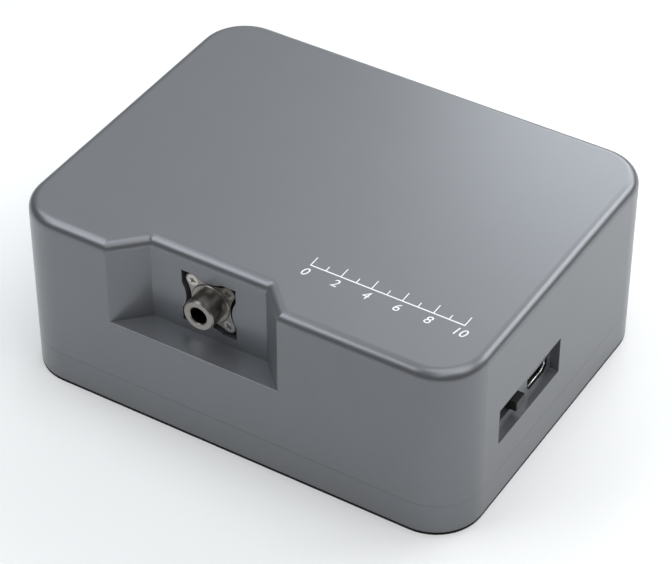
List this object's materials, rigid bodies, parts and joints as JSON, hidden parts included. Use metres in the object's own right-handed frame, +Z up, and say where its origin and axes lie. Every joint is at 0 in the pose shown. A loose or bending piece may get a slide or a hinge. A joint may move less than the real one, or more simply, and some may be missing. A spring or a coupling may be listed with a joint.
{
  "type": "near-infrared spectrometer",
  "caption": "Small metal near-infrared spectrometer box with a fibre input in a splayed front recess, and a data socket and slide switch in a side recess.",
  "frame": {"origin": "centre of the rectangle under the instrument, on the surface its rubber feet stand on", "axes": "+X along the long side towards the face with the data socket and the power switch, -Y out of the fibre input's recess, +Z up"},
  "size_m": [0.1, 0.078, 0.0402],
  "materials": {
    "housing_metal": "bead-blasted and anodised dark grey",
    "zinc_steel": "zinc plated",
    "foot_rubber": "matt black",
    "connector_nickel": "turned, nickel plated",
    "connector_screw_steel": "bright",
    "black_foam": "matt black foam",
    "black_steel": "blackened",
    "filter_glass": "polished, long-pass",
    "black_aluminium": "anodised matt black",
    "gold_mirror": "gold coated",
    "ruled_glass": "ruled and gold coated",
    "detector_metal": "gold-plated package",
    "clear_glass": "polished",
    "sensor_dark": "polished chip",
    "gold_pin": "gold plated",
    "board_green": "solder mask",
    "plain_brass": "turned",
    "grey_pad": "soft thermal pad",
    "tinned_steel": "tinned",
    "black_plastic": "moulded",
    "knob_plastic": "moulded, fine grain",
    "cable_film": "flexible film",
    "latch_plastic": "moulded",
    "chip_plastic": "moulded package",
    "ceramic": "fired ceramic",
    "can_metal": "drawn can",
    "ferrite": "pressed powder"
  },
  "bodies": {
    "instrument": {"top_housing": "housing_metal", "bottom_cover": "housing_metal", "cover_screws": "zinc_steel", "rubber_feet": "foot_rubber", "fibre_connector": "connector_nickel", "connector_screws": "connector_screw_steel", "window_seal": "black_foam", "entrance_slit": "black_steel", "order_filter": "filter_glass", "slit_ring": "black_aluminium", "optical_bench": "black_aluminium", "bench_screws": "zinc_steel", "bench_lid": "black_aluminium", "lid_screws": "zinc_steel", "collimating_mirror": "gold_mirror", "collimator_mount": "black_aluminium", "focusing_mirror": "gold_mirror", "focuser_mount": "black_aluminium", "grating": "ruled_glass", "grating_mount": "black_aluminium", "mount_screws": "zinc_steel", "light_baffle": "black_aluminium", "detector_case": "detector_metal", "detector_window": "clear_glass", "detector_array": "sensor_dark", "detector_pins": "gold_pin", "detector_board": "board_green", "detector_spacers": "plain_brass", "detector_screws": "zinc_steel", "thermal_pad": "grey_pad", "main_board": "board_green", "board_standoffs": "plain_brass", "data_socket_shell": "tinned_steel", "data_socket_tongue": "black_plastic", "data_socket_contacts": "gold_pin", "switch_case": "tinned_steel", "switch_terminals": "tinned_steel", "ribbon_cable": "cable_film", "ribbon_latches": "latch_plastic", "processor": "chip_plastic", "processor_leads": "tinned_steel", "board_chips": "chip_plastic", "capacitors": "ceramic", "crystal": "can_metal", "inductors": "ferrite"},
    "switch_slider": {"switch_knob": "knob_plastic"}
  },
  "joints": [
    {"name": "power_switch", "type": "slide", "parent": "instrument", "child": "switch_slider", "axis": [0, 1, 0], "range_m": [-0.004, 0]}
  ]
}
